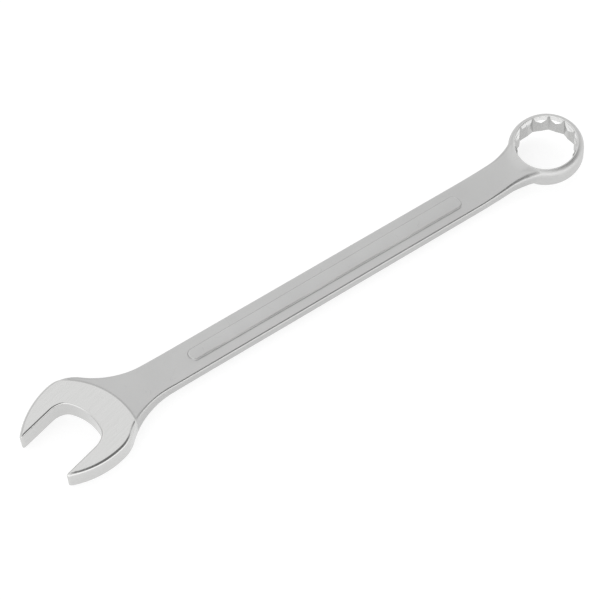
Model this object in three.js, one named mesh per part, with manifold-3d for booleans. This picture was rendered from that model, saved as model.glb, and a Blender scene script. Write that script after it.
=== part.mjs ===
// Combination wrench, 32 mm across flats: a slanted open end, a plain shank with a raised panel on
// each side, and a tilted twelve-point ring. The tool is one steel forging, so all its regions share
// one rigid body and meet face to face on planes square to the shank.
//
// Millimetres, +Z up. The wrench lies flat: +X runs from the open end to the ring, +Y is the side of
// the jaw that the open end is slanted away from. The origin is under the middle of the whole tool.

import * as THREE from "three";
import { mergeVertices } from "three/addons/utils/BufferGeometryUtils.js";
import Module from "manifold-3d";

// Overall
const ringDistance = 313.8; // middle of the open end to middle of the ring

// Open end
const jawAngle = THREE.MathUtils.degToRad(15);
const jawGap = 32.4;
const headThickness = 13;
const jawWidth = 12.1; // a jaw at its widest, from its flat to its outer side
const headWidestAt = -2.8; // along the jaws' own axis, which points at the shank
const headRearRadius = 20;
const headFrontRadius = 48.5;
const headBackLeft = THREE.MathUtils.degToRad(72.8); // where the round on +Y meets the back arc
const headBackRight = THREE.MathUtils.degToRad(-30.4); // and the round on -Y
const headBackReach = 16.5; // from the middle of the open end to the back arc's furthest point
const headBackShift = -4.9; // how far that point lies to one side
const headEdge = 1; // rounding of its edges
const throatRadius = 28;
const throatCorner = 4.5;
const tipRadius = 1.1;

// Shank
const shankWidth = 21.1;
const shankThickness = 6.7;
const shankEdge = 1.2;

// Neck behind the open end
const neckStep = 0.6; // the flat face stands this much proud of the neck
const neckRamp = 38; // length in which the neck thins to the shank
const neckRadiusLeft = 44; // concave flank on +Y
const neckRadiusRight = 45; // concave flank on -Y
const neckSetback = 6; // the neck's own material stops this far behind the throat's wall

// Ring
const ringWall = 3.62; // from a point of the bore to the ring's outside
const ringHeight = 15.6;
const ringTilt = THREE.MathUtils.degToRad(9.8);
const ringEdge = 4.9; // rounding of the ring's outer edges
const boreFlats = 32.1;
const boreBevel = 0.4; // how far the lead on the lower face reaches past the bore's points
const recessStep = 1.2; // the round recess in the upper face is this much wider than the bore's inner corners
const recessDepth = 3.5; // from the upper face to where the recess narrows to the bore
const ringNeckRadius = 38; // concave flanks
const ringNeckBend = 60; // the shank starts to bend up this far from the ring's middle
const ringNeckTopRise = 4.2;
const ringNeckBottomRise = 1;
const ringNeckEdge = 3.4; // the shank's edges widen to this rounding at the ring

// Raised panel, the same on both sides
const panelWidth = 7.2; // at the open end
const panelWidthAtRing = 8.8;
const panelHeight = 1;
const panelDraft = 0.6;
const panelCorner = 3;
const panelStart = 63; // from the middle of the open end
const panelEnd = 65.5; // from the middle of the ring

// Planes where the regions meet
const jawCut = -4;
const webCut = 24;
const neckCut = 60;
const ringNeckCut = 62; // from the middle of the ring
const ringCut = 25; // from the middle of the ring

// Smoothness
const arcSegments = 12;
const cornerSegments = 6;
const sectionCornerSegments = 4;
const sectionFaceSteps = 4;
const neckSteps = 20;
const ringSegments = 72;
const ringEdgeSegments = 5;
const margin = 5; // cutters run past what they cut by this much

const headHalfWidth = jawGap / 2 + jawWidth;
const borePoint = boreFlats / Math.sqrt(3); // from the bore's middle to a point of the star
const boreCorner = boreFlats / 2 / Math.cos(Math.PI / 12); // and to a corner between two points
const ringRadius = borePoint + ringWall;

const wasm = await Module();
wasm.setup();

const add = (a, b) => [a[0] + b[0], a[1] + b[1]];
const subtract = (a, b) => [a[0] - b[0], a[1] - b[1]];
const angleOf = (v) => Math.atan2(v[1], v[0]);
const turned = ([x, y], angle) => [
  x * Math.cos(angle) - y * Math.sin(angle),
  x * Math.sin(angle) + y * Math.cos(angle),
];

// ---- solids ----

// A closed geometry as a solid that can be joined and cut.
function solidOf(geometry) {
  geometry.deleteAttribute("normal");
  geometry.deleteAttribute("uv");
  const merged = mergeVertices(geometry, 1e-5);
  return new wasm.Manifold(
    new wasm.Mesh({
      numProp: 3,
      vertProperties: merged.attributes.position.array,
      triVerts: new Uint32Array(merged.index.array),
    }),
  );
}

function geometryOf(solid) {
  const mesh = solid.getMesh();
  const geometry = new THREE.BufferGeometry();
  geometry.setAttribute("position", new THREE.BufferAttribute(mesh.vertProperties, 3));
  geometry.setIndex(new THREE.BufferAttribute(mesh.triVerts, 1));
  const faceted = geometry.toNonIndexed();
  faceted.computeVertexNormals();
  return faceted;
}

// The block between two corners.
function block(low, high) {
  const size = high.map((value, axis) => value - low[axis]);
  const geometry = new THREE.BoxGeometry(...size);
  geometry.translate(...low.map((value, axis) => value + size[axis] / 2));
  return solidOf(geometry);
}

// ---- open end ----

// The circle through three points.
function circleThrough(a, b, c) {
  const toB = subtract(b, a);
  const toC = subtract(c, a);
  const squareB = toB[0] ** 2 + toB[1] ** 2;
  const squareC = toC[0] ** 2 + toC[1] ** 2;
  const twice = 2 * (toB[0] * toC[1] - toB[1] * toC[0]);
  const centre = add(a, [
    (toC[1] * squareB - toB[1] * squareC) / twice,
    (toB[0] * squareC - toC[0] * squareB) / twice,
  ]);
  return { centre, radius: Math.hypot(...subtract(a, centre)) };
}

const rearCentre = (side) => [headWidestAt, side * (headHalfWidth - headRearRadius)];
const frontCentre = (side) => [headWidestAt, side * (headHalfWidth - headFrontRadius)];
const rearAngle = (side) => (side > 0 ? headBackLeft : headBackRight);
const rearEnd = (side) =>
  add(rearCentre(side), [
    headRearRadius * Math.cos(rearAngle(side)),
    headRearRadius * Math.sin(rearAngle(side)),
  ]);
const back = circleThrough(rearEnd(-1), [headBackReach, headBackShift], rearEnd(1));

// Points of an arc from one angle to the other, without its last point, where the next arc starts.
function arc([x, y], radius, from, to, segments = arcSegments) {
  return Array.from({ length: segments }, (_, i) => {
    const angle = from + ((to - from) * i) / segments;
    return new THREE.Vector2(x + radius * Math.cos(angle), y + radius * Math.sin(angle));
  });
}

// The head seen from above in its own axes: the mouth opens towards -x, the shank lies towards +x.
function headOutline() {
  const halfGap = jawGap / 2;
  const tipAcross = halfGap + tipRadius;
  const tipFromFront = headFrontRadius - tipRadius;
  const frontDepth = headFrontRadius - headHalfWidth;
  const tipAlong = headWidestAt - Math.sqrt(tipFromFront ** 2 - (tipAcross + frontDepth) ** 2);
  const cornerAcross = halfGap - throatCorner;
  const cornerFromThroat = throatRadius - throatCorner;
  const cornerAlong = Math.sqrt(cornerFromThroat ** 2 - cornerAcross ** 2) - throatRadius;
  const cornerAngle = Math.asin(cornerAcross / cornerFromThroat);

  const quarter = Math.PI / 2;
  const tip = (side) => [tipAlong, side * tipAcross];
  const tipAngle = (side) => angleOf(subtract(tip(side), frontCentre(side)));
  const backAngle = (side) => angleOf(subtract(rearEnd(side), back.centre));

  return new THREE.Shape([
    ...arc(tip(-1), tipRadius, quarter, tipAngle(-1) + 4 * quarter),
    ...arc(frontCentre(-1), headFrontRadius, tipAngle(-1), -quarter),
    ...arc(rearCentre(-1), headRearRadius, -quarter, rearAngle(-1)),
    ...arc(back.centre, back.radius, backAngle(-1), backAngle(1)),
    ...arc(rearCentre(1), headRearRadius, rearAngle(1), quarter),
    ...arc(frontCentre(1), headFrontRadius, quarter, tipAngle(1)),
    ...arc(tip(1), tipRadius, tipAngle(1), 3 * quarter),
    new THREE.Vector2(tipAlong, halfGap),
    ...arc([cornerAlong, cornerAcross], throatCorner, quarter, cornerAngle),
    ...arc([-throatRadius, 0], throatRadius, cornerAngle, -cornerAngle),
    ...arc([cornerAlong, -cornerAcross], throatCorner, -cornerAngle, -quarter),
    new THREE.Vector2(cornerAlong, -halfGap),
  ]);
}

function headSolid() {
  const geometry = new THREE.ExtrudeGeometry(headOutline(), {
    depth: headThickness - 2 * headEdge,
    bevelThickness: headEdge,
    bevelSize: headEdge,
    bevelOffset: -headEdge,
    bevelSegments: 3,
  });
  geometry.translate(0, 0, headEdge - headThickness / 2);
  geometry.rotateZ(jawAngle);
  return solidOf(geometry);
}

// ---- shank and necks ----

const halfWidth = shankWidth / 2;
const halfThickness = shankThickness / 2;

// A flank's distance from the shank's middle line: the round of a head from its widest place, then a
// concave arc, then the straight shank. The head's circle lies on the side where x is smaller.
function flankOf(circleCentre, circleRadius, flankRadius) {
  const centreAcross = halfWidth + flankRadius;
  const run = Math.sqrt((circleRadius + flankRadius) ** 2 - (centreAcross - circleCentre[1]) ** 2);
  const end = circleCentre[0] + run;
  const touch = circleCentre[0] + (run * circleRadius) / (circleRadius + flankRadius);
  const across = (x) => {
    if (x < touch) {
      const forward = Math.max(x - circleCentre[0], 0);
      return circleCentre[1] + Math.sqrt(circleRadius ** 2 - forward ** 2);
    }
    return centreAcross - Math.sqrt(flankRadius ** 2 - Math.max(end - x, 0) ** 2);
  };
  return { across, touch, end };
}

const [leftX, leftY] = turned(rearCentre(1), jawAngle);
const [rightX, rightY] = turned(rearCentre(-1), jawAngle);
const flankLeft = flankOf([leftX, leftY], headRearRadius, neckRadiusLeft);
const flankRight = flankOf([rightX, -rightY], headRearRadius, neckRadiusRight);
const flankRing = flankOf([0, 0], ringRadius, ringNeckRadius);
const backMiddle = turned(back.centre, jawAngle);

// How far the shank's left or right side stands from its middle line.
function sideAt(x, left) {
  const openFlank = left ? flankLeft : flankRight;
  return Math.max(openFlank.across(x), flankRing.across(ringDistance - x));
}

// From 0 where the shank starts to bend up to 1 at the ring's rim.
const bendAt = (x) => Math.max(0, (x - ringDistance + ringNeckBend) / (ringNeckBend - ringRadius));

// Height of the upper or lower surface above the shank's middle plane.
function surfaceAt(x, y, upper) {
  const past = Math.hypot(x - backMiddle[0], y - backMiddle[1]) - back.radius;
  const ramp = Math.min(Math.max(1 - past / neckRamp, 0), 1);
  const thickening = (headThickness / 2 - neckStep - halfThickness) * ramp ** 2;
  const rise = bendAt(x) ** 2 * (upper ? ringNeckTopRise : ringNeckBottomRise);
  return (upper ? 1 : -1) * (halfThickness + thickening) + rise;
}

const edgeAt = (x) => shankEdge + (ringNeckEdge - shankEdge) * Math.min(bendAt(x), 1) ** 2;

// Stations along the shank, close together in the necks and one long step between them.
function stations() {
  const start = leftX;
  const openEnd = Math.max(flankLeft.end, flankRight.end, backMiddle[0] + back.radius + neckRamp);
  const ringStart = ringDistance - Math.max(flankRing.end, ringNeckBend);
  const end = ringDistance - flankRing.touch;
  const spread = (from, to) =>
    Array.from({ length: neckSteps + 1 }, (_, i) => from + ((to - from) * i) / neckSteps);
  return [...spread(start, openEnd), ...spread(ringStart, end)];
}

// A rounded bar of unit size, extruded along its length and then drawn out to the real section.
function shankSolid() {
  const at = stations();
  const corner = 1;
  const flat = 2; // half length of the bar's straight faces before it is drawn out
  const quarter = Math.PI / 2;
  const round = (y, z, from) => arc([y, z], corner, from, from + quarter, sectionCornerSegments);
  const face = (y, z) =>
    Array.from(
      { length: sectionFaceSteps },
      (_, i) => new THREE.Vector2(y - (2 * y * i) / sectionFaceSteps, z),
    );
  const shape = new THREE.Shape([
    ...face(-flat, -flat - corner),
    ...round(flat, -flat, -quarter),
    new THREE.Vector2(flat + corner, -flat),
    ...round(flat, flat, 0),
    ...face(flat, flat + corner),
    ...round(-flat, flat, quarter),
    new THREE.Vector2(-flat - corner, flat),
    ...round(-flat, -flat, 2 * quarter),
  ]);
  const geometry = new THREE.ExtrudeGeometry(shape, {
    depth: at.length - 1,
    steps: at.length - 1,
    bevelEnabled: false,
  });
  const position = geometry.attributes.position;
  for (let i = 0; i < position.count; i++) {
    const x = at[Math.round(position.getZ(i))];
    const edge = edgeAt(x);
    const flatY = Math.min(Math.max(position.getX(i), -flat), flat);
    const flatZ = Math.min(Math.max(position.getY(i), -flat), flat);
    const right = edge - sideAt(x, false);
    const left = sideAt(x, true) - edge;
    const y = right + ((left - right) * (flatY + flat)) / (2 * flat);
    const upper = flatZ > 0;
    const z = surfaceAt(x, y, upper) - (upper ? edge : -edge);
    position.setXYZ(
      i,
      x,
      y + edge * (position.getX(i) - flatY),
      z + edge * (position.getY(i) - flatZ),
    );
  }
  const setback = new THREE.CylinderGeometry(
    throatRadius + neckSetback,
    throatRadius + neckSetback,
    2 * headThickness,
    ringSegments,
  );
  setback.rotateX(Math.PI / 2);
  setback.translate(-throatRadius, 0, 0);
  setback.rotateZ(jawAngle);
  return solidOf(geometry).subtract(solidOf(setback));
}

// The raised panel on the shank's upper side. It widens towards the ring, and its walls lean in by the
// draft.
function panelSolid() {
  const length = ringDistance - panelEnd - panelStart;
  const x = length / 2 - panelCorner;
  const y = panelWidth / 2 - panelCorner;
  const quarter = Math.PI / 2;
  const shape = new THREE.Shape([
    ...arc([x, -y], panelCorner, -quarter, 0, cornerSegments),
    new THREE.Vector2(length / 2, -y),
    ...arc([x, y], panelCorner, 0, quarter, cornerSegments),
    new THREE.Vector2(x, panelWidth / 2),
    ...arc([-x, y], panelCorner, quarter, 2 * quarter, cornerSegments),
    new THREE.Vector2(-length / 2, y),
    ...arc([-x, -y], panelCorner, 2 * quarter, 3 * quarter, cornerSegments),
    new THREE.Vector2(-x, -panelWidth / 2),
  ]);
  const geometry = new THREE.ExtrudeGeometry(shape, {
    depth: panelHeight,
    bevelEnabled: false,
  });
  const position = geometry.attributes.position;
  for (let i = 0; i < position.count; i++) {
    const along = position.getX(i) / length + 0.5;
    const width = panelWidth + (panelWidthAtRing - panelWidth) * along;
    const draft = position.getZ(i) > panelHeight / 2 ? 2 * panelDraft : 0;
    position.setX(i, position.getX(i) * (1 - draft / length));
    position.setY(i, (position.getY(i) * (width - draft)) / panelWidth);
  }
  geometry.translate(panelStart + length / 2, 0, 0);
  return solidOf(geometry);
}

// ---- ring ----

// Height of the ring's middle over the shank's middle plane, so that both ends lie on one table.
const ringRise =
  (ringRadius - ringEdge) * Math.sin(ringTilt) +
  (ringHeight / 2 - ringEdge) * Math.cos(ringTilt) +
  ringEdge -
  headThickness / 2;

// Moves a solid from the ring's own axes, where it stands upright, to its tilted place.
function placeOnRing(geometry) {
  geometry.rotateY(-ringTilt);
  geometry.translate(ringDistance, 0, ringRise);
  return geometry;
}

function latheUpright(points) {
  const geometry = new THREE.LatheGeometry(
    points.map(([r, z]) => new THREE.Vector2(r, z)),
    ringSegments,
  );
  geometry.rotateX(Math.PI / 2);
  return geometry;
}

// The ring's outside, with no bore yet.
function ringBlank() {
  const inner = ringRadius - ringEdge;
  const straight = ringHeight / 2 - ringEdge;
  const rim = (side) =>
    Array.from({ length: ringEdgeSegments + 1 }, (_, i) => {
      const angle = (side * Math.PI * i) / (2 * ringEdgeSegments);
      return [inner + ringEdge * Math.cos(angle), side * straight + ringEdge * Math.sin(angle)];
    });
  const outline = [
    [0, -ringHeight / 2],
    ...rim(-1).reverse(),
    ...rim(1),
    [0, ringHeight / 2],
  ];
  return solidOf(placeOnRing(latheUpright(outline)));
}

// Two hexagons turned by 30 degrees, as one twelve-pointed star with a valley towards the shank.
function boreSolid() {
  const corners = Array.from({ length: 24 }, (_, i) => {
    const radius = i % 2 ? borePoint : boreCorner;
    const angle = (i * Math.PI) / 12;
    return new THREE.Vector2(radius * Math.cos(angle), radius * Math.sin(angle));
  });
  const geometry = new THREE.ExtrudeGeometry(new THREE.Shape(corners), {
    depth: ringHeight + 2 * margin,
    bevelEnabled: false,
  });
  geometry.translate(0, 0, -ringHeight / 2 - margin);
  return solidOf(placeOnRing(geometry));
}

// The conical lead into the bore on the lower face.
function leadSolid() {
  const mouth = borePoint + boreBevel;
  const face = -ringHeight / 2;
  const outline = [
    [0, face - margin],
    [mouth + margin, face - margin],
    [0, face + mouth],
  ];
  return solidOf(placeOnRing(latheUpright(outline)));
}

// The round recess in the upper face, which narrows to the bore as a cone.
function recessSolid() {
  const radius = boreCorner + recessStep;
  const face = ringHeight / 2;
  const floor = face - recessDepth;
  const outline = [
    [0, floor - radius],
    [radius, floor],
    [radius, face + margin],
    [0, face + margin],
  ];
  return solidOf(placeOnRing(latheUpright(outline)));
}

// ---- the forging and its regions ----

const forging = headSolid()
  .add(shankSolid())
  .add(ringBlank())
  .subtract(boreSolid())
  .subtract(leadSolid())
  .subtract(recessSolid());

const reach = ringDistance;
const between = (fromX, toX, fromY = -reach, toY = reach) =>
  forging.intersect(block([fromX, fromY, -reach], [toX, toY, reach]));

const satin = { color: 0xb9bab8, roughness: 0.42, metalness: 1 };
const polished = { color: 0xd3d3d1, roughness: 0.24, metalness: 1 };

const wrench = new THREE.Group();

function addRegion(name, solid, finish) {
  const mesh = new THREE.Mesh(geometryOf(solid), new THREE.MeshStandardMaterial(finish));
  mesh.name = name;
  wrench.add(mesh);
  return mesh;
}

addRegion("left_jaw", between(-reach, jawCut, -halfWidth / 2), polished);
addRegion("right_jaw", between(-reach, jawCut, -reach, -halfWidth / 2), polished);
addRegion("jaw_web", between(jawCut, webCut), polished);
addRegion("open_end_neck", between(webCut, neckCut), satin);
addRegion("shank", between(neckCut, ringDistance - ringNeckCut), satin);
addRegion("ring_neck", between(ringDistance - ringNeckCut, ringDistance - ringCut), satin);
addRegion("ring_head", between(ringDistance - ringCut, ringDistance + reach), polished);

const upperPanel = addRegion("upper_panel", panelSolid(), satin);
upperPanel.position.z = halfThickness;
const lowerPanel = addRegion("lower_panel", panelSolid(), satin);
lowerPanel.rotation.x = Math.PI;
lowerPanel.position.z = -halfThickness;

// The origin goes on the table, under the middle of the tool.
const bounds = new THREE.Box3().setFromObject(wrench, true);
const middle = bounds.getCenter(new THREE.Vector3());
wrench.position.set(-middle.x, -middle.y, -bounds.min.z);

export default wrench;
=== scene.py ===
from math import cos, radians, sin, sqrt

import bmesh
import bpy
import numpy as np
from mathutils import Matrix, Vector


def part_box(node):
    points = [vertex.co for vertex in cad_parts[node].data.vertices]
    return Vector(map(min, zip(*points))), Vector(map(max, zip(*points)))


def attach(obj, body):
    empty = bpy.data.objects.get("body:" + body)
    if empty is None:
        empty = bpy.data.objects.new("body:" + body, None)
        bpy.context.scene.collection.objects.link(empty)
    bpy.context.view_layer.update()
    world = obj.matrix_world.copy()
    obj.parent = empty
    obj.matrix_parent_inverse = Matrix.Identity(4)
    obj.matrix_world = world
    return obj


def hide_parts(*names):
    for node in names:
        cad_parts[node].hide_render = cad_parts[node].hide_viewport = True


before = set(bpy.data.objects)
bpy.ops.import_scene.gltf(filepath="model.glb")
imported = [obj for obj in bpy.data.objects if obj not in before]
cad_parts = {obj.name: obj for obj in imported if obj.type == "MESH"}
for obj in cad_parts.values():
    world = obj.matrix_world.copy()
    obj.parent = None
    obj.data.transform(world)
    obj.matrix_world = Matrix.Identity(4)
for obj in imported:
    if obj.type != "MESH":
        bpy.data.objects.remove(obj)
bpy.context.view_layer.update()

# Combination wrench: one steel forging with an open end, a shank and a twelve-point ring.
# The shape is worked out in millimetres, with the middle of the open end at zero, the shank along +x
# and the shank's middle plane at z = 0. Finished pieces are in metres, in the frame's own place.

mm = 0.001

openEnd = {
    "slant": 15,  # degrees, towards -y
    "gap": 32.4,
    "jawWidth": 12.1,
    "thickness": 13,
    "widestAt": -2.8,  # along the slanted axis, from the middle
    "frontRadius": 48.5,
    "rearRadius": 20,
    "throatRadius": 28,
    "throatCorner": 4.5,
    "tipRound": 2.3,
    "outerEdge": 2.3,
    "mouthEdge": 1.35,
    "faceRadius": 45.5,  # arc that ends the polished face
    "faceReach": 16.5,
    "faceShift": -4.9,
    "faceStep": 0.6,  # how far the face stands proud of the neck
    "step": (-0.72, 1.08),  # it falls to the neck between these distances past the arc
    "edgeFade": (-4, 14),  # past the arc, where the edge turns into the shank's
    "mouthFade": 1,  # either side of the tips, where the outer edge turns into the mouth's
}

shank = {
    "length": 60,  # from the middle of the open end to where the shank piece starts
    "width": 21.1,
    "thickness": 6.7,
    "edge": 1.2,
    "flankLeft": 44,
    "flankRight": 45,
    "ramp": 38,  # length in which the neck thins to the shank
}

panel = {
    "start": 63,
    "end": 65.5,  # from the middle of the ring
    "width": 7.2,
    "ringWidth": 8.8,
    "height": 1.05,
    "crown": 0.14,
    "corner": 3.5,
    "draft": 0.1,
    "topEdge": 0.16,
    "foot": 0.9,  # blend into the shank
}

ring = {
    "points": 12,
    "distance": 313.8,  # from the middle of the open end
    "tilt": 9.8,
    "height": 15.6,
    "wall": 3.62,  # outside the bore's outer corners
    "edge": 4.9,
    "flats": 32.1,
    "lead": 0.4,  # on the lower face
    "recessStep": 1.2,  # the recess in the upper face is this much wider than the bore's inner corners
    "recessLean": 0.14,  # its wall opens upwards
    "recessDepth": 3.5,
    "crest": 0.7,  # rounding where the recess meets the rim
    "neckRadius": 38,
    "bend": 60,  # from the middle of the ring to where the neck starts to rise
    "topRise": 4.2,
    "bottomRise": 1,
    "neckEdge": 3.4,
    "neckEnd": 299,
    "fade": 12,  # length in which the neck sinks into the ring
    "sink": 0.6,
    "blendLoss": 0.95,
    "sideBlend": 1.2,
    "topBlend": 5,
    "topFade": (1, 7),  # in from the outline, where the side's blend turns into the top's
    "piece": 62,  # from the middle of the ring to where the ring piece starts
}

slant = radians(openEnd["slant"])
tilt = radians(ring["tilt"])
halfPoint = radians(180 / ring["points"])
headHalf = openEnd["thickness"] / 2
shankHalf = shank["thickness"] / 2
widthHalf = shank["width"] / 2
headWidthHalf = openEnd["gap"] / 2 + openEnd["jawWidth"]
ringRadius = ring["flats"] / sqrt(3) + ring["wall"]
ringHalf = ring["height"] / 2
ringRise = (
    (ringRadius - ring["edge"]) * sin(tilt)
    + (ringHalf - ring["edge"]) * cos(tilt)
    + ring["edge"]
    - headHalf
)

# the frame's shank node says where the middle of the open end lies
shankLow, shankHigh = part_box("shank")
zero = Vector((
    shankLow[0] - shank["length"] * mm,
    (shankLow[1] + shankHigh[1]) / 2,
    (shankLow[2] + shankHigh[2]) / 2,
))


def cutRound(a, b, radius):
    # what is inside both, with the edge between them rounded
    corner = np.hypot(np.maximum(a + radius, 0), np.maximum(b + radius, 0))
    return np.minimum(-radius, np.maximum(a, b)) + corner


def joinSoft(a, b, width):
    # what is inside either, flowing into each other over this width
    near = np.maximum(width - np.abs(a - b), 0) / width
    return np.minimum(a, b) - near * near * width / 4


def smooth(value, low, high):
    t = np.clip((value - low) / (high - low), 0, 1)
    return t * t * (3 - 2 * t)


def headAxes(x, y):
    return x * cos(slant) + y * sin(slant), y * cos(slant) - x * sin(slant)


def turned(x, y):
    return Vector((x * cos(slant) - y * sin(slant), x * sin(slant) + y * cos(slant)))


def headPlan(x, y):
    along, across = headAxes(x, y)
    back = along - openEnd["widestAt"]
    side = np.abs(across)
    front = np.hypot(back, side + openEnd["frontRadius"] - headWidthHalf) - openEnd["frontRadius"]
    beyond = np.maximum(side - headWidthHalf + openEnd["rearRadius"], 0)
    rear = np.hypot(np.maximum(back, 0), beyond) - openEnd["rearRadius"]
    return np.where(back < 0, front, rear)


def mouthPlan(x, y):
    along, across = headAxes(x, y)
    throat = np.hypot(np.maximum(along + openEnd["throatRadius"], 0), across) - openEnd["throatRadius"]
    return cutRound(np.abs(across) - openEnd["gap"] / 2, throat, openEnd["throatCorner"])


def flankPlan(x, y, centre, radius, flankRadius):
    # the round of a head, then a concave arc, then the straight side
    across = widthHalf + flankRadius
    end = centre[0] + sqrt((radius + flankRadius) ** 2 - (across - centre[1]) ** 2)
    onRound = (end - centre[0]) * (y - centre[1]) > (across - centre[1]) * (x - centre[0])
    concave = flankRadius - np.hypot(x - end, y - across)
    rounded = np.hypot(x - centre[0], y - centre[1]) - radius
    return np.where(x > end, y - widthHalf, np.where(onRound, rounded, concave))


def neckPlan(x, y):
    off = headWidthHalf - openEnd["rearRadius"]
    left = turned(openEnd["widestAt"], off)
    right = turned(openEnd["widestAt"], -off)
    rear = openEnd["rearRadius"]
    fromRing = ring["distance"] - x
    byHead = np.maximum(
        flankPlan(x, y, left, rear, shank["flankLeft"]),
        flankPlan(x, -y, (right[0], -right[1]), rear, shank["flankRight"]),
    )
    byRing = np.maximum(
        flankPlan(fromRing, y, (0, 0), ringRadius, ring["neckRadius"]),
        flankPlan(fromRing, -y, (0, 0), ringRadius, ring["neckRadius"]),
    )
    return np.where(x < ring["distance"] / 2, byHead, byRing)


def bendAt(x):
    return np.maximum(0, (x - ring["distance"] + ring["bend"]) / (ring["bend"] - ringRadius))


def intoRing(x):
    return smooth(x, ring["neckEnd"] - ring["fade"], ring["neckEnd"])


def pastFace(x, y):
    centre = turned(openEnd["faceReach"] - openEnd["faceRadius"], openEnd["faceShift"])
    return np.hypot(x - centre[0], y - centre[1]) - openEnd["faceRadius"]


def plateBody(x, y, z):
    past = pastFace(x, y)
    ramp = np.clip(1 - past / shank["ramp"], 0, 1)
    neck = shankHalf + (headHalf - openEnd["faceStep"] - shankHalf) * ramp**2
    onNeck = smooth(past, *openEnd["step"])
    half = headHalf + (neck - headHalf) * onNeck
    bend = bendAt(x)
    height = np.maximum(
        z - half - bend**2 * ring["topRise"],
        bend**2 * ring["bottomRise"] - half - z,
    )
    outer = np.minimum(headPlan(x, y), neckPlan(x, y))
    mouth = -mouthPlan(x, y)
    toShank = smooth(past, *openEnd["edgeFade"])
    edge = openEnd["outerEdge"] + (shank["edge"] - openEnd["outerEdge"]) * toShank
    edge = edge + (ring["neckEdge"] - shank["edge"]) * np.minimum(bend, 1) ** 2
    byMouth = smooth(mouth - outer, -openEnd["mouthFade"], openEnd["mouthFade"])
    edge = edge + (openEnd["mouthEdge"] - edge) * byMouth
    plate = cutRound(cutRound(outer, mouth, openEnd["tipRound"]), height, edge)
    return np.maximum(plate + ring["sink"] * intoRing(x), x - ring["neckEnd"]), outer


def ringAxes(x, z):
    along = x - ring["distance"]
    up = z - ringRise
    return along * cos(tilt) + up * sin(tilt), up * cos(tilt) - along * sin(tilt)


def ringBody(x, y, z):
    along, up = ringAxes(x, z)
    return cutRound(np.hypot(along, y) - ringRadius, np.abs(up) - ringHalf, ring["edge"])


def leadBelow(x, y, z):
    along, up = ringAxes(x, z)
    mouth = ring["flats"] / sqrt(3) + ring["lead"]
    return (np.hypot(along, y) - mouth + ringHalf + up) / sqrt(2)


def recessAbove(x, y, z):
    # a steep wall, then a cone that narrows to the bore
    along, up = ringAxes(x, z)
    over = up - ringHalf + ring["recessDepth"]
    beyond = np.hypot(along, y) - ring["flats"] / 2 / cos(halfPoint) - ring["recessStep"]
    return np.maximum(beyond - ring["recessLean"] * over, (beyond - over) / sqrt(2))


def panelBody(x, y, z):
    length = ring["distance"] - panel["end"] - panel["start"]
    along = (x - panel["start"]) / length
    half = (panel["width"] + (panel["ringWidth"] - panel["width"]) * np.clip(along, 0, 1)) / 2
    endward = np.abs(x - panel["start"] - length / 2) - length / 2 + panel["corner"]
    sideward = np.abs(y) - half + panel["corner"]
    outside = np.hypot(np.maximum(endward, 0), np.maximum(sideward, 0))
    plan = outside + np.minimum(np.maximum(endward, sideward), 0) - panel["corner"]
    rise = np.abs(z) - shankHalf
    top = panel["height"] - panel["crown"] * np.minimum(y / half, 1) ** 2
    return cutRound(plan + panel["draft"] * rise, rise - top, panel["topEdge"])


def forging(x, y, z):
    plate, outer = plateBody(x, y, z)
    onTop = smooth(-outer, *ring["topFade"])
    blend = ring["sideBlend"] + (ring["topBlend"] - ring["sideBlend"]) * onTop
    solid = joinSoft(plate, ringBody(x, y, z), blend * (1 - ring["blendLoss"] * intoRing(x)))
    solid = cutRound(solid, -recessAbove(x, y, z), ring["crest"])
    solid = cutRound(solid, -leadBelow(x, y, z), ring["crest"] / 2)
    return joinSoft(solid, panelBody(x, y, z), panel["foot"])


def twelvePoint(x, y, z):
    # two hexagons, one turned half a side from the other
    along, up = ringAxes(x, z)
    hexagons = []
    for first in (15, 45):
        sides = [along * cos(radians(first + 60 * i)) + y * sin(radians(first + 60 * i)) for i in range(3)]
        hexagons.append(np.max(np.abs(sides), axis=0) - ring["flats"] / 2)
    return np.minimum(*hexagons)


def wholeWrench(x, y, z):
    return np.maximum(forging(x, y, z), -twelvePoint(x, y, z))


mesher = {
    "slab": 32,  # grid planes worked out at a time
    "halvings": 14,
    "hold": 0.03,  # pull towards the middle of a cell's crossings
    "leastSlope": 0.25,
    "shadingStep": 0.02,
    "agreement": 0.5,  # least cosine between a face and the surface's own normal
    "machinedHighlightFade": (0.1, 0.35),  # distance from the recess in which its machined finish and painted highlight end
}


def slopeOf(rule, points, step=0.005):
    slopes = []
    for axis in range(3):
        shift = np.zeros(3)
        shift[axis] = step
        slopes.append(rule(*(points + shift).T) - rule(*(points - shift).T))
    return np.stack(slopes, axis=1) / (2 * step)


def roundnessOf(rule, points, step=0.4):
    # how tightly the surface turns, above zero on a ridge
    total = -6 * rule(*points.T)
    for axis in range(3):
        shift = np.zeros(3)
        shift[axis] = step
        total = total + rule(*(points + shift).T) + rule(*(points - shift).T)
    return total / step**2


def gridLines(start, spans):
    lines = [start]
    for end, step in spans:
        count = max(1, round((end - lines[-1]) / step))
        lines.extend(np.linspace(lines[-1], end, count + 1)[1:])
    return np.array(lines)


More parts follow.
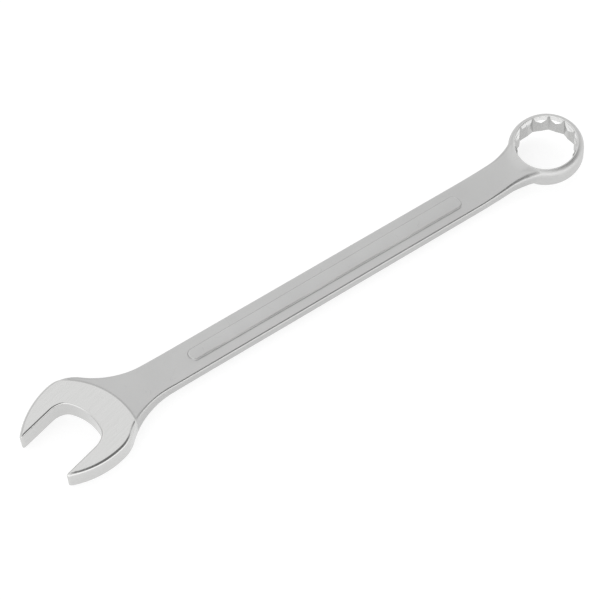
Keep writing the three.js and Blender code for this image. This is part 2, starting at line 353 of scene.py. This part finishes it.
def skinOf(rule, lines):
    # one vertex in each grid cell that the surface passes through, one quad for each grid line it crosses
    shape = [len(axisLines) for axisLines in lines]
    inside = np.empty(shape, dtype=bool)
    slab = mesher["slab"]
    for first in range(0, shape[0], slab):
        block = np.meshgrid(lines[0][first:first + slab], lines[1], lines[2], indexing="ij")
        inside[first:first + slab] = rule(*block) < 0
    crossings, quads = [], []
    for axis in range(3):
        low = [slice(1, -1)] * 3
        high = [slice(1, -1)] * 3
        low[axis] = slice(0, -1)
        high[axis] = slice(1, None)
        here, there = inside[tuple(low)], inside[tuple(high)]
        index = np.argwhere(here != there)
        outward = here[tuple(index.T)]
        for other in range(3):
            if other != axis:
                index[:, other] += 1
        start = np.stack([lines[i][index[:, i]] for i in range(3)], axis=1)
        length = lines[axis][index[:, axis] + 1] - start[:, axis]
        near, far = np.zeros(len(index)), length.copy()
        point = start.copy()
        for _ in range(mesher["halvings"]):
            middle = (near + far) / 2
            point[:, axis] = start[:, axis] + middle
            sameSide = (rule(*point.T) < 0) == outward
            near = np.where(sameSide, middle, near)
            far = np.where(sameSide, far, middle)
        crossings.append(point.copy())
        second, third = (axis + 1) % 3, (axis + 2) % 3
        corners = []
        for a, b in ((-1, -1), (0, -1), (0, 0), (-1, 0)):
            cell = index.copy()
            cell[:, second] += a
            cell[:, third] += b
            corners.append(np.ravel_multi_index(cell.T, shape))
        corners = np.stack(corners, axis=1)
        corners[~outward] = corners[~outward][:, ::-1]
        quads.append(corners)
    crossings = np.concatenate(crossings)
    quads = np.concatenate(quads)
    cells, quads = np.unique(quads, return_inverse=True)
    quads = quads.reshape(-1, 4)
    normals = slopeOf(rule, crossings)
    normals /= np.linalg.norm(normals, axis=1, keepdims=True)

    def gather(values):
        return sum(np.bincount(quads[:, i], values, len(cells)) for i in range(4))

    share = gather(np.ones(len(quads)))
    centre = np.stack([gather(crossings[:, i]) for i in range(3)], axis=1) / share[:, None]
    reachOut = np.einsum("ij,ij->i", normals, crossings)
    pull = np.empty((len(cells), 3, 3))
    aim = np.empty((len(cells), 3))
    for i in range(3):
        for j in range(3):
            pull[:, i, j] = gather(normals[:, i] * normals[:, j])
        aim[:, i] = gather(normals[:, i] * reachOut)
    aim -= np.einsum("nij,nj->ni", pull, centre)
    pull += np.eye(3) * mesher["hold"] * share[:, None, None]
    vertices = centre + np.linalg.solve(pull, aim[:, :, None])[:, :, 0]
    cellIndex = np.unravel_index(cells, shape)
    for i in range(3):
        low = lines[i][cellIndex[i]]
        high = lines[i][cellIndex[i] + 1]
        vertices[:, i] = np.clip(vertices[:, i], low, high)
    slope = slopeOf(rule, vertices)
    steep = np.maximum(np.einsum("ij,ij->i", slope, slope), mesher["leastSlope"])
    vertices -= slope * (rule(*vertices.T) / steep)[:, None]
    return vertices, quads


def meshOf(name, vertices, quads):
    mesh = bpy.data.meshes.new(name)
    mesh.from_pydata(vertices.tolist(), [], quads.tolist())
    mesh.validate()
    return mesh


def objectOf(name, mesh, *materials):
    piece = bpy.data.objects.new(name, mesh)
    bpy.context.scene.collection.objects.link(piece)
    for material in materials:
        mesh.materials.append(material)
    return piece


def slabOf(mesh, name, low, high):
    # a copy of the skin between two planes square to the shank, closed where it is cut
    cut = bmesh.new()
    cut.from_mesh(mesh)
    for place, facing in ((low, -1), (high, 1)):
        if place is None:
            continue
        parts = cut.verts[:] + cut.edges[:] + cut.faces[:]
        bmesh.ops.bisect_plane(
            cut, geom=parts, dist=1e-4, plane_co=(place, 0, 0), plane_no=(facing, 0, 0), clear_outer=True
        )
        rim = [edge for edge in cut.edges if edge.is_boundary]
        bmesh.ops.edgenet_fill(cut, edges=rim)
        bmesh.ops.recalc_face_normals(cut, faces=cut.faces[:])
    part = bpy.data.meshes.new(name)
    cut.to_mesh(part)
    cut.free()
    return part


def finishPiece(piece, facetMaterial=None):
    # shading follows the true surface; caps and bore facets stay flat
    mesh = piece.data
    count = len(mesh.vertices)
    points = np.empty(count * 3)
    mesh.vertices.foreach_get("co", points)
    points = points.reshape(-1, 3)
    slope = slopeOf(forging, points, mesher["shadingStep"])
    slope /= np.maximum(np.linalg.norm(slope, axis=1, keepdims=True), 1e-6)
    faceNormals = np.empty(len(mesh.polygons) * 3)
    mesh.polygons.foreach_get("normal", faceNormals)
    faceNormals = faceNormals.reshape(-1, 3)
    corners = np.empty(len(mesh.loops), dtype=np.int32)
    mesh.loops.foreach_get("vertex_index", corners)
    totals = np.empty(len(mesh.polygons), dtype=np.int32)
    mesh.polygons.foreach_get("loop_total", totals)
    faceOfCorner = np.repeat(np.arange(len(totals)), totals)
    shading = slope[corners]
    flat = faceNormals[faceOfCorner]
    # a corner keeps the flat normal where the surface's own normal is far off
    agree = np.einsum("ij,ij->i", shading, flat) > mesher["agreement"]
    isFacet = np.zeros(len(totals), dtype=bool)
    if facetMaterial is not None:
        slots = np.empty(len(mesh.polygons), dtype=np.int32)
        mesh.polygons.foreach_get("material_index", slots)
        isFacet = slots == mesh.materials.find(facetMaterial.name)
        # marks the recess, where a lighter colour is painted on as a highlight over its machined finish
        machinedWithPaintedHighlight = mesh.attributes.new("machinedWithPaintedHighlight", "FLOAT", "POINT")
        fromRecess = np.abs(recessAbove(*points.T))
        nearRecess = 1 - smooth(fromRecess, *mesher["machinedHighlightFade"])
        machinedWithPaintedHighlight.data.foreach_set("value", nearRecess.astype(np.float32))
    useFlat = isFacet[faceOfCorner] | ~agree
    shading = np.where(useFlat[:, None], flat, shading)
    wear = mesh.attributes.new("ridge", "FLOAT", "POINT")
    wear.data.foreach_set("value", roundnessOf(wholeWrench, points).astype(np.float32))
    mesh.polygons.foreach_set("use_smooth", np.ones(len(totals), dtype=bool))
    mesh.transform(Matrix.Translation(zero) @ Matrix.Scale(mm, 4))
    mesh.normals_split_custom_set(shading.tolist())
    mesh.update()
    return piece


def boreTree():
    tree = bpy.data.node_groups.new("twelvePointCore", "GeometryNodeTree")
    inputs = {
        "Flats": (ring["flats"], "NodeSocketFloat"),
        "Points": (ring["points"], "NodeSocketInt"),
        "Depth": (ring["height"] * 2, "NodeSocketFloat"),
        "Tilt": (-tilt, "NodeSocketFloat"),
        "Centre": ((ring["distance"], 0, ringRise), "NodeSocketVector"),
        "Facets": (None, "NodeSocketMaterial"),
    }
    for name, (value, kind) in inputs.items():
        socket = tree.interface.new_socket(name, in_out="INPUT", socket_type=kind)
        if value is not None:
            socket.default_value = value
    tree.interface.new_socket("Geometry", in_out="OUTPUT", socket_type="NodeSocketGeometry")
    add, join = tree.nodes.new, tree.links.new
    given = add("NodeGroupInput")
    result = add("NodeGroupOutput")

    def worked(operation, a, b):
        node = add("ShaderNodeMath")
        node.operation = operation
        for socket, value in zip(node.inputs, (a, b)):
            if isinstance(value, bpy.types.NodeSocket):
                join(value, socket)
            else:
                socket.default_value = value
        return node.outputs[0]

    star = add("GeometryNodeCurveStar")
    join(given.outputs["Points"], star.inputs["Points"])
    join(worked("DIVIDE", given.outputs["Flats"], 2 * cos(halfPoint)), star.inputs["Inner Radius"])
    join(worked("DIVIDE", given.outputs["Flats"], sqrt(3)), star.inputs["Outer Radius"])
    face = add("GeometryNodeFillCurve")
    face.mode = "NGONS"
    join(star.outputs["Curve"], face.inputs["Curve"])
    pushed = add("GeometryNodeExtrudeMesh")
    pushed.mode = "FACES"
    pushed.inputs["Individual"].default_value = False
    join(face.outputs["Mesh"], pushed.inputs["Mesh"])
    join(given.outputs["Depth"], pushed.inputs["Offset Scale"])
    under = add("GeometryNodeFlipFaces")
    join(face.outputs["Mesh"], under.inputs["Mesh"])
    both = add("GeometryNodeJoinGeometry")
    join(under.outputs["Mesh"], both.inputs["Geometry"])
    join(pushed.outputs["Mesh"], both.inputs["Geometry"])
    closed = add("GeometryNodeMergeByDistance")
    join(both.outputs["Geometry"], closed.inputs["Geometry"])
    lowered = add("ShaderNodeCombineXYZ")
    join(worked("MULTIPLY", given.outputs["Depth"], -0.5), lowered.inputs["Z"])
    upright = add("GeometryNodeTransform")
    upright.inputs["Rotation"].default_value = (0, 0, halfPoint)
    join(closed.outputs["Geometry"], upright.inputs["Geometry"])
    join(lowered.outputs["Vector"], upright.inputs["Translation"])
    leaning = add("ShaderNodeCombineXYZ")
    join(given.outputs["Tilt"], leaning.inputs["Y"])
    placed = add("GeometryNodeTransform")
    join(upright.outputs["Geometry"], placed.inputs["Geometry"])
    join(given.outputs["Centre"], placed.inputs["Translation"])
    join(leaning.outputs["Vector"], placed.inputs["Rotation"])
    real = add("GeometryNodeRealizeInstances")
    join(placed.outputs["Geometry"], real.inputs["Geometry"])
    painted = add("GeometryNodeSetMaterial")
    join(real.outputs["Geometry"], painted.inputs["Geometry"])
    join(given.outputs["Facets"], painted.inputs["Material"])
    join(painted.outputs["Geometry"], result.inputs["Geometry"])
    return tree


def plainMesh(source):
    graph = bpy.context.evaluated_depsgraph_get()
    return bpy.data.meshes.new_from_object(source.evaluated_get(graph), depsgraph=graph)


def boreCore(material):
    holder = objectOf("boreCoreHolder", bpy.data.meshes.new("boreCoreHolder"))
    modifier = holder.modifiers.new("core", "NODES")
    tree = boreTree()
    modifier.node_group = tree
    facets = next(item for item in tree.interface.items_tree if item.name == "Facets")
    modifier[facets.identifier] = material
    mesh = plainMesh(holder)
    bpy.data.objects.remove(holder)
    return objectOf("boreCore", mesh)


def worker(tree):
    # short ways to add a node, fill its sockets with values or links, and get an output back
    def use(kind, output=0, settings=None, **values):
        node = tree.nodes.new(kind)
        for key, value in (settings or {}).items():
            setattr(node, key, value)
        for key, value in values.items():
            socket = node.inputs[int(key[1:])] if key[0] == "i" and key[1:].isdigit() else node.inputs[key]
            if isinstance(value, bpy.types.NodeSocket):
                tree.links.new(value, socket)
            else:
                socket.default_value = value
        return node.outputs[output]

    def work(operation, a, b=0.0, clamp=False):
        return use("ShaderNodeMath", settings={"operation": operation, "use_clamp": clamp}, i0=a, i1=b)

    return use, work


def newGroup(name, inputs, outputs):
    group = bpy.data.node_groups.new(name, "ShaderNodeTree")
    for label, value in inputs.items():
        kind = "NodeSocketVector" if value is None else "NodeSocketFloat"
        socket = group.interface.new_socket(label, in_out="INPUT", socket_type=kind)
        if value is not None:
            socket.default_value = value
    for label in outputs:
        group.interface.new_socket(label, in_out="OUTPUT", socket_type="NodeSocketFloat")
    given = group.nodes.new("NodeGroupInput")
    result = group.nodes.new("NodeGroupOutput")
    return group, given.outputs, result.inputs


texture = {
    "grain": 3200.0,  # blasted pits, scales are per metre
    "pitScale": 0.45,  # of the grain
    "pitSoftness": 0.6,
    "pitShare": 0.4,
    "waves": 60.0,
    "waveShare": 0.4,
    "fineness": 6000.0,  # drawn lines
    "broadScale": 0.2,  # of the fineness
    "broadShare": 0.3,
    "scuffSize": 70.0,
    "scuffPlace": 0.52,  # scuffs follow this level of a noise
    "scuffWidth": 0.0018,
    "gapScale": 2.3,  # of the scuffs' size
    "scuffGaps": 0.6,
    "ridgeFrom": 0.15,  # roundness at which wear starts and is full, per millimetre
    "ridgeTo": 0.9,
    "ridgeGrain": 900.0,
    "ridgeContrast": 0.8,
    "ridgeBase": 0.5,
}


def blastGroup():
    # a blasted skin: fine pits over a slow, soft unevenness left by the forging die
    inputs = {"Place": None, "Grain": texture["grain"], "Waves": texture["waves"]}
    group, given, result = newGroup("blastedSkin", inputs, ("Height", "Tone"))
    use, work = worker(group)
    join = group.links.new
    fine = use("ShaderNodeTexNoise", Vector=given["Place"], Scale=given["Grain"], Detail=3.0, Roughness=0.6)
    pits = use(
        "ShaderNodeTexVoronoi", settings={"feature": "SMOOTH_F1"},
        Vector=given["Place"], Scale=work("MULTIPLY", given["Grain"], texture["pitScale"]),
        Smoothness=texture["pitSoftness"],
    )
    slow = use("ShaderNodeTexNoise", Vector=given["Place"], Scale=given["Waves"], Detail=2.0)
    join(use("ShaderNodeMix", Factor=texture["pitShare"], A=fine, B=pits), result["Height"])
    join(use("ShaderNodeMix", Factor=texture["waveShare"], A=fine, B=slow), result["Tone"])
    return group


def drawnGroup():
    # fine lines left by a belt or a broach, all running the way that the place is squeezed along
    inputs = {"Place": None, "Turn": 0.0, "Squeeze": None, "Fineness": texture["fineness"]}
    group, given, result = newGroup("drawnLines", inputs, ("Height", "Tone"))
    use, work = worker(group)
    join = group.links.new
    angle = use("ShaderNodeCombineXYZ", Z=given["Turn"])
    turnedPlace = use(
        "ShaderNodeVectorRotate", settings={"rotation_type": "EULER_XYZ"},
        Vector=given["Place"], Rotation=angle,
    )
    drawn = use(
        "ShaderNodeVectorMath", settings={"operation": "MULTIPLY"},
        i0=turnedPlace, i1=given["Squeeze"],
    )
    lines = use("ShaderNodeTexNoise", Vector=drawn, Scale=given["Fineness"], Detail=2.0, Roughness=0.7)
    coarse = work("MULTIPLY", given["Fineness"], texture["broadScale"])
    broad = use("ShaderNodeTexNoise", Vector=drawn, Scale=coarse, Detail=1.0)
    join(lines, result["Height"])
    join(use("ShaderNodeMix", Factor=texture["broadShare"], A=lines, B=broad), result["Tone"])
    return group


def useMarksGroup():
    # thin, broken scuffs from handling, and the worn ridges
    inputs = {"Place": None, "Size": texture["scuffSize"]}
    group, given, result = newGroup("useMarks", inputs, ("Scuff", "Ridge"))
    use, work = worker(group)
    join = group.links.new
    drift = use("ShaderNodeTexNoise", Vector=given["Place"], Scale=given["Size"], Detail=1.0, Distortion=0.6)
    away = work("ABSOLUTE", work("SUBTRACT", drift, texture["scuffPlace"]))
    thin = work("LESS_THAN", away, texture["scuffWidth"])
    finer = work("MULTIPLY", given["Size"], texture["gapScale"])
    gaps = use("ShaderNodeTexNoise", Vector=given["Place"], Scale=finer, Detail=1.0)
    kept = work("GREATER_THAN", gaps, texture["scuffGaps"])
    join(work("MULTIPLY", thin, kept), result["Scuff"])
    turn = use("ShaderNodeAttribute", output="Fac", settings={"attribute_name": "ridge"})
    worn = use("ShaderNodeMapRange", settings={"interpolation_type": "SMOOTHSTEP"}, Value=turn, **{
        "From Min": texture["ridgeFrom"], "From Max": texture["ridgeTo"],
    })
    uneven = use("ShaderNodeTexNoise", Vector=given["Place"], Scale=texture["ridgeGrain"], Detail=3.0)
    patchy = work("ADD", work("MULTIPLY", uneven, texture["ridgeContrast"]), texture["ridgeBase"])
    join(work("MULTIPLY", worn, patchy, clamp=True), result["Ridge"])
    return group


def zoneGroup():
    # 1 inside a round zone about an upright axis, 0 outside
    inputs = {"Place": None, "Centre X": 0.0, "Centre Y": 0.0, "Radius": 1.0, "Softness": 0.0004}
    group, given, result = newGroup("roundZone", inputs, ("Inside",))
    _, work = worker(group)
    split = group.nodes.new("ShaderNodeSeparateXYZ")
    group.links.new(given["Place"], split.inputs["Vector"])
    offX = work("SUBTRACT", split.outputs["X"], given["Centre X"])
    offY = work("SUBTRACT", split.outputs["Y"], given["Centre Y"])
    away = work("SQRT", work("ADD", work("MULTIPLY", offX, offX), work("MULTIPLY", offY, offY)))
    inside = work("DIVIDE", work("SUBTRACT", given["Radius"], away), given["Softness"])
    group.links.new(work("ADD", inside, 0.5, clamp=True), result["Inside"])
    return group


groups = {"blast": blastGroup(), "drawn": drawnGroup(), "marks": useMarksGroup(), "zone": zoneGroup()}

finish = {
    "satin": (0.515, 0.515, 0.512),
    "satinRoughness": 0.38,
    "bright": (0.600, 0.600, 0.594),  # the open end's faces
    "brightRoughness": 0.21,
    "ring": (0.600, 0.600, 0.595),
    "ringRoughness": 0.46,
    "broachedWithPaintedShade": (0.430, 0.430, 0.426),  # the bore's facets, broached, their colour darkened as painted shade inside the bore
    "broachedWithPaintedShadeRoughness": 0.34,
    "machinedWithPaintedHighlight": (0.830, 0.830, 0.825),  # the recess above the bore, machined, its colour lightened as a painted highlight
    "machinedRoughness": 0.24,
    "worn": (0.70, 0.70, 0.69),
    "wornShare": 0.3,
    "wornPolish": 0.08,
    "scuffed": (0.40, 0.40, 0.40),
    "scuffShare": 0.35,
    "scuffRoughness": 0.15,
    "toneShare": 0.08,  # how far the texture moves the colour and the roughness
    "roughnessShare": 0.14,
    "blastDepth": 0.000010,  # metres
    "lineDepth": 0.0000014,
    "faceSoftness": 0.0006,
    "ringSoftness": 0.006,
}


def steelMaterial(
    name, skin, rough, zone=None, turn=0.0, squeeze=(0.04, 1.0, 1.0), buffed="bright", recess=False
):
    # blasted steel, with a zone where one is given: centre x, centre y, radius, softness
    # buffed names the zone's own finish, and recess adds the machined finish of the ring's recess, lightened
    # as a painted highlight
    material = bpy.data.materials.new(name)
    material.use_nodes = True
    tree = material.node_tree
    use, work = worker(tree)
    join = tree.links.new
    shader = tree.nodes["Principled BSDF"]
    shader.inputs["Metallic"].default_value = 1
    place = use("ShaderNodeTexCoord", output="Object")

    def grouped(key, **values):
        node = tree.nodes.new("ShaderNodeGroup")
        node.node_tree = groups[key]
        join(place, node.inputs["Place"])
        for label, value in values.items():
            node.inputs[label].default_value = value
        return node.outputs

    def mixedColour(factor, a, b, blend="MIX"):
        node = tree.nodes.new("ShaderNodeMix")
        node.data_type = "RGBA"
        node.blend_type = blend
        for socket, value in zip((node.inputs[0], node.inputs[6], node.inputs[7]), (factor, a, b)):
            if isinstance(value, bpy.types.NodeSocket):
                join(value, socket)
            elif isinstance(value, tuple):
                socket.default_value = (*value, 1)
            else:
                socket.default_value = value
        return node.outputs[2]

    blast = grouped("blast")
    marks = grouped("marks")
    base = skin
    tone = blast["Tone"]
    height = work("MULTIPLY", blast["Height"], finish["blastDepth"])
    if zone is not None:
        keys = ("Centre X", "Centre Y", "Radius", "Softness")
        bright = grouped("zone", **dict(zip(keys, zone)))["Inside"]
        drawn = grouped("drawn", Turn=turn, Squeeze=squeeze)
        base = mixedColour(bright, skin, finish[buffed])
        tone = use("ShaderNodeMix", Factor=bright, A=tone, B=drawn["Tone"])
        rough = use("ShaderNodeMix", Factor=bright, A=rough, B=finish[buffed + "Roughness"])
        scored = work("MULTIPLY", drawn["Height"], finish["lineDepth"])
        height = use("ShaderNodeMix", Factor=bright, A=height, B=scored)

    if recess:
        machinedWithPaintedHighlight = use("ShaderNodeAttribute", output="Fac", settings={"attribute_name": "machinedWithPaintedHighlight"})
        # the recess gets a lighter colour, a painted highlight, and a smoother machined finish
        base = mixedColour(machinedWithPaintedHighlight, base, finish["machinedWithPaintedHighlight"])
        rough = use("ShaderNodeMix", Factor=machinedWithPaintedHighlight, A=rough, B=finish["machinedRoughness"])
    unevenness = work("SUBTRACT", tone, 0.5)
    shade = work("ADD", work("MULTIPLY", unevenness, finish["toneShare"]), 0.5)
    grey = use("ShaderNodeCombineColor", Red=shade, Green=shade, Blue=shade)
    base = mixedColour(1.0, base, grey, "LINEAR_LIGHT")
    base = mixedColour(work("MULTIPLY", marks["Ridge"], finish["wornShare"]), base, finish["worn"])
    base = mixedColour(work("MULTIPLY", marks["Scuff"], finish["scuffShare"]), base, finish["scuffed"])
    join(base, shader.inputs["Base Color"])

    rough = work("ADD", rough, work("MULTIPLY", unevenness, finish["roughnessShare"]))
    rough = work("SUBTRACT", rough, work("MULTIPLY", marks["Ridge"], finish["wornPolish"]))
    scuffed = work("MULTIPLY", marks["Scuff"], finish["scuffRoughness"])
    join(work("ADD", rough, scuffed, clamp=True), shader.inputs["Roughness"])
    join(use("ShaderNodeBump", Height=height, Strength=1.0, Distance=1.0), shader.inputs["Normal"])
    return material


def inFrame(x, y):
    # a place in the wrench's millimetres as metres in the frame
    return zero[0] + x * mm, zero[1] + y * mm


faceCentre = inFrame(*turned(openEnd["faceReach"] - openEnd["faceRadius"], openEnd["faceShift"]))
ringCentre = inFrame(ring["distance"], 0)
faceZone = (*faceCentre, openEnd["faceRadius"] * mm, finish["faceSoftness"])
ringZone = (*ringCentre, (ringRadius + 1) * mm, finish["ringSoftness"])
boreZone = (*ringCentre, 2 * ringRadius * mm, finish["ringSoftness"])  # takes in every facet
satinRough = finish["satinRoughness"]
openEndSteel = steelMaterial("openEndSteel", finish["satin"], satinRough, faceZone, turn=-slant)
shankSteel = steelMaterial("shankSteel", finish["satin"], satinRough)
ringSteel = steelMaterial("ringSteel", finish["satin"], satinRough, ringZone, buffed="ring", recess=True)
# the bore's facets: broached lines, with a darker colour painted on as shade inside the bore
broachedSteelWithPaintedShade = steelMaterial(
    "broachedSteelWithPaintedShade", finish["broachedWithPaintedShade"], satinRough, boreZone, squeeze=(1.0, 1.0, 0.03), buffed="broachedWithPaintedShade"
)
print("finishes ready")


view = {
    "place": (-0.29555, -0.37910, 0.73262),
    "azimuth": -36.55,
    "elevation": 57.04,
    "roll": 1.61,
    "lens": 93.54,
    "nearest": 0.01,
}


def placeCamera():
    around, above, roll = (radians(view[key]) for key in ("azimuth", "elevation", "roll"))
    back = Vector((sin(around) * cos(above), -cos(around) * cos(above), sin(above)))
    right = Vector((cos(around), sin(around), 0))
    up = back.cross(right)
    rightRolled = right * cos(roll) + up * sin(roll)
    upRolled = up * cos(roll) - right * sin(roll)
    data = bpy.data.cameras.new("camera")
    data.lens = view["lens"]
    data.clip_start = view["nearest"]
    camera = bpy.data.objects.new("camera", data)
    turn = Matrix((rightRolled, upRolled, back)).transposed()
    camera.matrix_world = Matrix.Translation(view["place"]) @ turn.to_4x4()
    bpy.context.scene.collection.objects.link(camera)
    bpy.context.scene.camera = camera


light = {
    "table": 0.76,  # the table glows a little, so that no hard shadow lies on it
    "sky": 1.03,
    "glow": 1.55,  # low and to the front
    "glowHeights": (0.40, 0.60),
    "front": (-0.35, -0.93, 0.0),
    "rear": 0.82,  # low and behind
    "dark": 0.22,
    "darkFrom": (0.30, -0.48, 0.82),  # the side that the light is kept away from
    "darkEdge": (0.80, 0.91),
    "panelPlace": (0.10, 0.75, 1.35),
    "panelAim": (-0.15, 0.0, 0.0),
    "panelSize": 1.1,
    "panelPower": 0.4,
    "sideFade": (0.0, 0.6),
    "tableGrey": (0.34, 0.34, 0.34, 1),
    "tableHalf": 4,
}


def layFloor():
    half = light["tableHalf"]
    corners = [(-half, -half, 0), (half, -half, 0), (half, half, 0), (-half, half, 0)]
    mesh = bpy.data.meshes.new("floor")
    mesh.from_pydata(corners, [], [(0, 1, 2, 3)])
    material = bpy.data.materials.new("paleFloor")
    material.use_nodes = True
    shader = material.node_tree.nodes["Principled BSDF"]
    shader.inputs["Base Color"].default_value = light["tableGrey"]
    shader.inputs["Emission Color"].default_value = (1, 1, 1, 1)
    shader.inputs["Emission Strength"].default_value = light["table"]
    shader.inputs["Roughness"].default_value = 0.9
    shader.inputs["Specular IOR Level"].default_value = 0.1
    floor = objectOf("floor", mesh, material)


def lightStudio():
    world = bpy.data.worlds.new("studio")
    bpy.context.scene.world = world
    world.use_nodes = True
    tree = world.node_tree
    use, work = worker(tree)
    direction = use("ShaderNodeTexCoord", output="Generated")

    def towards(aim):
        dot = {"operation": "DOT_PRODUCT"}
        way = Vector(aim).normalized()
        return use("ShaderNodeVectorMath", output="Value", settings=dot, i0=direction, i1=way)

    def fade(value, low, high):
        span = {"From Min": low, "From Max": high}
        return use("ShaderNodeMapRange", settings={"interpolation_type": "SMOOTHSTEP"}, Value=value, **span)

    frontward = towards(light["front"])
    low = work("SUBTRACT", 1.0, fade(towards((0, 0, 1)), *light["glowHeights"]))
    inFront = work("MULTIPLY", low, fade(frontward, *light["sideFade"]))
    behind = work("MULTIPLY", low, fade(work("MULTIPLY", frontward, -1.0), *light["sideFade"]))
    sky = use("ShaderNodeMix", Factor=inFront, A=light["sky"], B=light["glow"])
    sky = use("ShaderNodeMix", Factor=behind, A=sky, B=light["rear"])
    keptDark = fade(towards(light["darkFrom"]), *light["darkEdge"])
    sky = use("ShaderNodeMix", Factor=keptDark, A=sky, B=light["dark"])
    background = tree.nodes["Background"]
    background.inputs["Color"].default_value = (1, 1, 1, 1)
    tree.links.new(sky, background.inputs["Strength"])
    bpy.context.scene.view_settings.view_transform = "Standard"
    data = bpy.data.lights.new("softPanel", "AREA")
    data.size = light["panelSize"]
    data.energy = light["panelPower"]
    panelLight = bpy.data.objects.new("softPanel", data)
    panelLight.location = light["panelPlace"]
    aim = Vector(light["panelAim"]) - Vector(light["panelPlace"])
    panelLight.rotation_euler = aim.to_track_quat("-Z", "Y").to_euler()
    bpy.context.scene.collection.objects.link(panelLight)


placeCamera()
layFloor()
lightStudio()
print("camera, floor and light set")


# for each axis, where the grid starts, then how far it goes on and in what steps
gridPlan = {
    "x": (-42.03, [(24, 0.42), (60, 0.65), (70, 0.4), (243, 2.0), (252, 0.4), (286, 0.6), (338, 0.42)]),
    "y": (-30.04, [(-5.2, 0.43), (-2.8, 0.24), (2.8, 0.5), (5.2, 0.24), (30, 0.43)]),
    "z": (-7.31, [(-5, 0.38), (-2.5, 0.24), (2.5, 0.5), (5, 0.22), (15.8, 0.4)]),
}
vertices, quads = skinOf(forging, [gridLines(*plan) for plan in gridPlan.values()])
print("skin:", len(vertices), "points", len(quads), "faces")
skin = meshOf("skin", vertices, quads)

ringStart = ring["distance"] - ring["piece"]
openEndPiece = objectOf("open_end", slabOf(skin, "open_end", None, shank["length"]), openEndSteel)
shankPiece = objectOf("shank_bar", slabOf(skin, "shank_bar", shank["length"], ringStart), shankSteel)
ringSolid = objectOf("ringSolid", slabOf(skin, "ringSolid", ringStart, None), ringSteel)

core = boreCore(broachedSteelWithPaintedShade)
cutter = ringSolid.modifiers.new("bore", "BOOLEAN")
cutter.operation = "DIFFERENCE"
cutter.solver = "EXACT"
cutter.material_mode = "TRANSFER"
cutter.object = core
ringPiece = objectOf("ring_end", plainMesh(ringSolid))
bpy.data.objects.remove(ringSolid)
bpy.data.objects.remove(core)
print("ring bored:", len(ringPiece.data.polygons), "faces")

for piece in (openEndPiece, shankPiece):
    finishPiece(piece)
finishPiece(ringPiece, broachedSteelWithPaintedShade)

for piece, slotName, replaced in (
    (openEndPiece, "polished_steel", ("left_jaw", "right_jaw", "jaw_web", "open_end_neck")),
    (shankPiece, "satin_steel", ("shank", "upper_panel", "lower_panel")),
    (ringPiece, "polished_steel", ("ring_neck", "ring_head")),
):
    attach(piece, "root")
    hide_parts(*replaced)
print("wrench ready")
